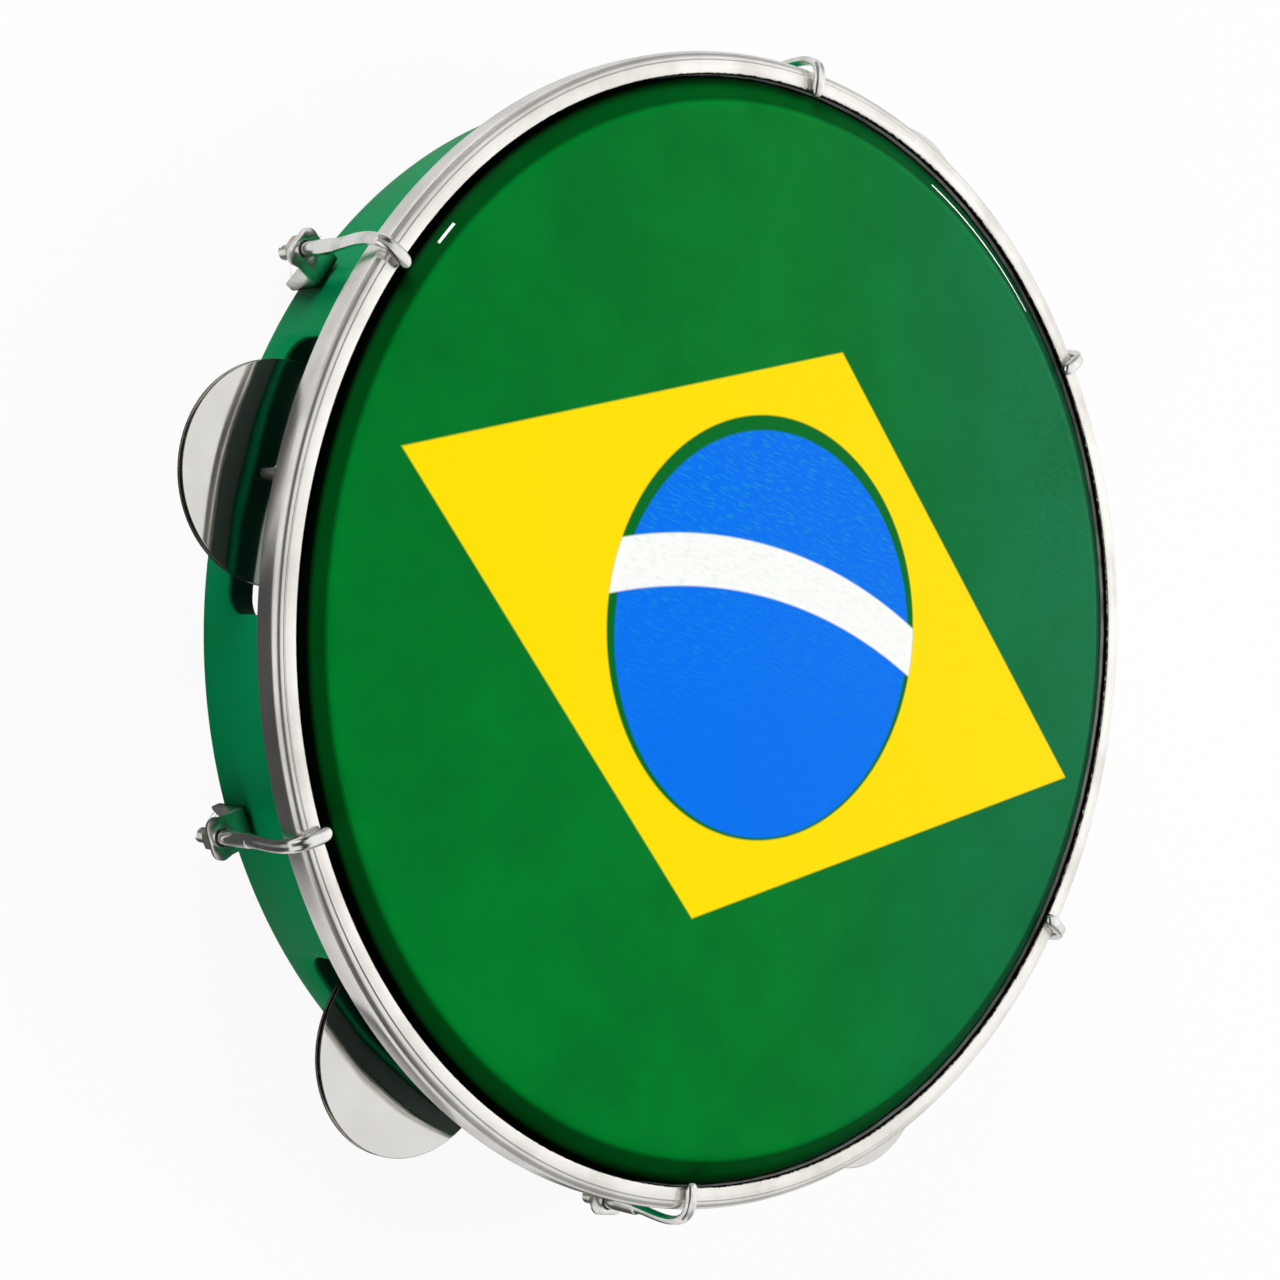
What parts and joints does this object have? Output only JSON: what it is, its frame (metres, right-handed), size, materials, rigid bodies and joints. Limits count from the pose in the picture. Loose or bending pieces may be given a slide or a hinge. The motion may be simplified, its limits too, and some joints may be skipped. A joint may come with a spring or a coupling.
{
  "type": "pandeiro",
  "caption": "Round hand drum on a shallow green frame, its head printed as a flag and held by a metal hoop with bent hooks, with pairs of cupped jingles in slots of the frame.",
  "frame": {"origin": "under the middle of the whole part, on the plane of the frame's back edge", "axes": "+Z out of the head along the drum's axis, +X to the side where one pair of jingles stands out, +Y to the top of the printed flag's picture as pictured"},
  "size_m": [0.277, 0.2618, 0.0379],
  "materials": {
    "shell_paint": "satin green paint",
    "head_film": "printed film, satin",
    "hoop_wire": "plain steel",
    "hoop_nickel": "nickel plate",
    "hook_nickel": "nickel plate",
    "nut_nickel": "dull plate",
    "lug_nickel": "nickel plate",
    "rivet_nickel": "nickel plate",
    "pin_steel": "plain steel",
    "jingle_nickel": "mirror plate",
    "damper_nickel": "plain plate"
  },
  "bodies": {
    "drum": {"shell": "shell_paint", "head": "head_film", "flesh_hoop": "hoop_wire", "counter_hoop": "hoop_nickel", "lug_1": "lug_nickel", "lug_2": "lug_nickel", "lug_3": "lug_nickel", "lug_4": "lug_nickel", "lug_5": "lug_nickel", "lug_6": "lug_nickel", "rivet_1": "rivet_nickel", "rivet_2": "rivet_nickel", "rivet_3": "rivet_nickel", "rivet_4": "rivet_nickel", "rivet_5": "rivet_nickel", "rivet_6": "rivet_nickel"},
    "nut_1": {"nut_1": "nut_nickel"},
    "hook_1": {"hook_1": "hook_nickel"},
    "nut_2": {"nut_2": "nut_nickel"},
    "hook_2": {"hook_2": "hook_nickel"},
    "nut_3": {"nut_3": "nut_nickel"},
    "hook_3": {"hook_3": "hook_nickel"},
    "nut_4": {"nut_4": "nut_nickel"},
    "hook_4": {"hook_4": "hook_nickel"},
    "nut_5": {"nut_5": "nut_nickel"},
    "hook_5": {"hook_5": "hook_nickel"},
    "nut_6": {"nut_6": "nut_nickel"},
    "hook_6": {"hook_6": "hook_nickel"},
    "pin_1": {"pin_1": "pin_steel"},
    "jingle_lower_1": {"jingle_lower_1": "jingle_nickel"},
    "damper_1": {"damper_1": "damper_nickel"},
    "jingle_upper_1": {"jingle_upper_1": "jingle_nickel"},
    "pin_2": {"pin_2": "pin_steel"},
    "jingle_lower_2": {"jingle_lower_2": "jingle_nickel"},
    "damper_2": {"damper_2": "damper_nickel"},
    "jingle_upper_2": {"jingle_upper_2": "jingle_nickel"},
    "pin_3": {"pin_3": "pin_steel"},
    "jingle_lower_3": {"jingle_lower_3": "jingle_nickel"},
    "damper_3": {"damper_3": "damper_nickel"},
    "jingle_upper_3": {"jingle_upper_3": "jingle_nickel"},
    "pin_4": {"pin_4": "pin_steel"},
    "jingle_lower_4": {"jingle_lower_4": "jingle_nickel"},
    "damper_4": {"damper_4": "damper_nickel"},
    "jingle_upper_4": {"jingle_upper_4": "jingle_nickel"},
    "pin_5": {"pin_5": "pin_steel"},
    "jingle_lower_5": {"jingle_lower_5": "jingle_nickel"},
    "damper_5": {"damper_5": "damper_nickel"},
    "jingle_upper_5": {"jingle_upper_5": "jingle_nickel"}
  },
  "joints": [
    {"name": "hook_1_rise", "type": "slide", "parent": "drum", "child": "hook_1", "axis": [0, 0, 1], "range_m": [0, 0.00381]},
    {"name": "nut_1_turn", "type": "hinge", "parent": "drum", "child": "nut_1", "pos_m": [0.01521, 0.12753, 0.0081], "axis": [0, 0, -1], "range_deg": [0, 2160]},
    {"name": "hook_2_rise", "type": "slide", "parent": "drum", "child": "hook_2", "axis": [0, 0, 1], "range_m": [0, 0.00381]},
    {"name": "nut_2_turn", "type": "hinge", "parent": "drum", "child": "nut_2", "pos_m": [-0.10531, 0.07686, 0.0081], "axis": [0, 0, -1], "range_deg": [0, 2160]},
    {"name": "hook_3_rise", "type": "slide", "parent": "drum", "child": "hook_3", "axis": [0, 0, 1], "range_m": [0, 0.00381]},
    {"name": "nut_3_turn", "type": "hinge", "parent": "drum", "child": "nut_3", "pos_m": [-0.12397, -0.04162, 0.0081], "axis": [0, 0, -1], "range_deg": [0, 2160]},
    {"name": "hook_4_rise", "type": "slide", "parent": "drum", "child": "hook_4", "axis": [0, 0, 1], "range_m": [0, 0.00381]},
    {"name": "nut_4_turn", "type": "hinge", "parent": "drum", "child": "nut_4", "pos_m": [-0.02108, -0.1275, 0.0081], "axis": [0, 0, -1], "range_deg": [0, 2160]},
    {"name": "hook_5_rise", "type": "slide", "parent": "drum", "child": "hook_5", "axis": [0, 0, 1], "range_m": [0, 0.00381]},
    {"name": "nut_5_turn", "type": "hinge", "parent": "drum", "child": "nut_5", "pos_m": [0.10346, -0.07399, 0.0081], "axis": [0, 0, -1], "range_deg": [0, 2160]},
    {"name": "hook_6_rise", "type": "slide", "parent": "drum", "child": "hook_6", "axis": [0, 0, 1], "range_m": [0, 0.00381]},
    {"name": "nut_6_turn", "type": "hinge", "parent": "drum", "child": "nut_6", "pos_m": [0.10742, 0.06776, 0.0081], "axis": [0, 0, -1], "range_deg": [0, 2160]},
    {"name": "set_1_spin", "type": "hinge", "parent": "drum", "child": "pin_1", "pos_m": [-0.11567, 0.03097, 0.0157], "axis": [0, 0, 1], "continuous": true},
    {"name": "jingle_lower_1_slide", "type": "slide", "parent": "pin_1", "child": "jingle_lower_1", "axis": [0, 0, 1], "range_m": [-0.0044, 0.0038]},
    {"name": "damper_1_slide", "type": "slide", "parent": "jingle_lower_1", "child": "damper_1", "axis": [0, 0, 1], "range_m": [0, 0.0012]},
    {"name": "jingle_upper_1_slide", "type": "slide", "parent": "damper_1", "child": "jingle_upper_1", "axis": [0, 0, 1], "range_m": [-0.0007, 0.002]},
    {"name": "set_2_spin", "type": "hinge", "parent": "drum", "child": "pin_2", "pos_m": [-0.08178, -0.08682, 0.0157], "axis": [0, 0, 1], "continuous": true},
    {"name": "jingle_lower_2_slide", "type": "slide", "parent": "pin_2", "child": "jingle_lower_2", "axis": [0, 0, 1], "range_m": [-0.0044, 0.0038]},
    {"name": "damper_2_slide", "type": "slide", "parent": "jingle_lower_2", "child": "damper_2", "axis": [0, 0, 1], "range_m": [0, 0.0012]},
    {"name": "jingle_upper_2_slide", "type": "slide", "parent": "damper_2", "child": "jingle_upper_2", "axis": [0, 0, 1], "range_m": [-0.0007, 0.002]},
    {"name": "set_3_spin", "type": "hinge", "parent": "drum", "child": "pin_3", "pos_m": [0.05144, -0.10507, 0.0157], "axis": [0, 0, 1], "continuous": true},
    {"name": "jingle_lower_3_slide", "type": "slide", "parent": "pin_3", "child": "jingle_lower_3", "axis": [0, 0, 1], "range_m": [-0.0044, 0.0038]},
    {"name": "damper_3_slide", "type": "slide", "parent": "jingle_lower_3", "child": "damper_3", "axis": [0, 0, 1], "range_m": [0, 0.0012]},
    {"name": "jingle_upper_3_slide", "type": "slide", "parent": "damper_3", "child": "jingle_upper_3", "axis": [0, 0, 1], "range_m": [-0.0007, 0.002]},
    {"name": "set_4_spin", "type": "hinge", "parent": "drum", "child": "pin_4", "pos_m": [0.11568, -0.00422, 0.0157], "axis": [0, 0, 1], "continuous": true},
    {"name": "jingle_lower_4_slide", "type": "slide", "parent": "pin_4", "child": "jingle_lower_4", "axis": [0, 0, 1], "range_m": [-0.0044, 0.0038]},
    {"name": "damper_4_slide", "type": "slide", "parent": "jingle_lower_4", "child": "damper_4", "axis": [0, 0, 1], "range_m": [0, 0.0012]},
    {"name": "jingle_upper_4_slide", "type": "slide", "parent": "damper_4", "child": "jingle_upper_4", "axis": [0, 0, 1], "range_m": [-0.0007, 0.002]},
    {"name": "set_5_spin", "type": "hinge", "parent": "drum", "child": "pin_5", "pos_m": [0.06297, 0.09812, 0.0157], "axis": [0, 0, 1], "continuous": true},
    {"name": "jingle_lower_5_slide", "type": "slide", "parent": "pin_5", "child": "jingle_lower_5", "axis": [0, 0, 1], "range_m": [-0.0044, 0.0038]},
    {"name": "damper_5_slide", "type": "slide", "parent": "jingle_lower_5", "child": "damper_5", "axis": [0, 0, 1], "range_m": [0, 0.0012]},
    {"name": "jingle_upper_5_slide", "type": "slide", "parent": "damper_5", "child": "jingle_upper_5", "axis": [0, 0, 1], "range_m": [-0.0007, 0.002]}
  ],
  "couplings": [
    {"joint": "nut_1_turn", "follows": "hook_1_rise", "rad_per_m": 9894.8},
    {"joint": "nut_2_turn", "follows": "hook_2_rise", "rad_per_m": 9894.8},
    {"joint": "nut_3_turn", "follows": "hook_3_rise", "rad_per_m": 9894.8},
    {"joint": "nut_4_turn", "follows": "hook_4_rise", "rad_per_m": 9894.8},
    {"joint": "nut_5_turn", "follows": "hook_5_rise", "rad_per_m": 9894.8},
    {"joint": "nut_6_turn", "follows": "hook_6_rise", "rad_per_m": 9894.8}
  ]
}
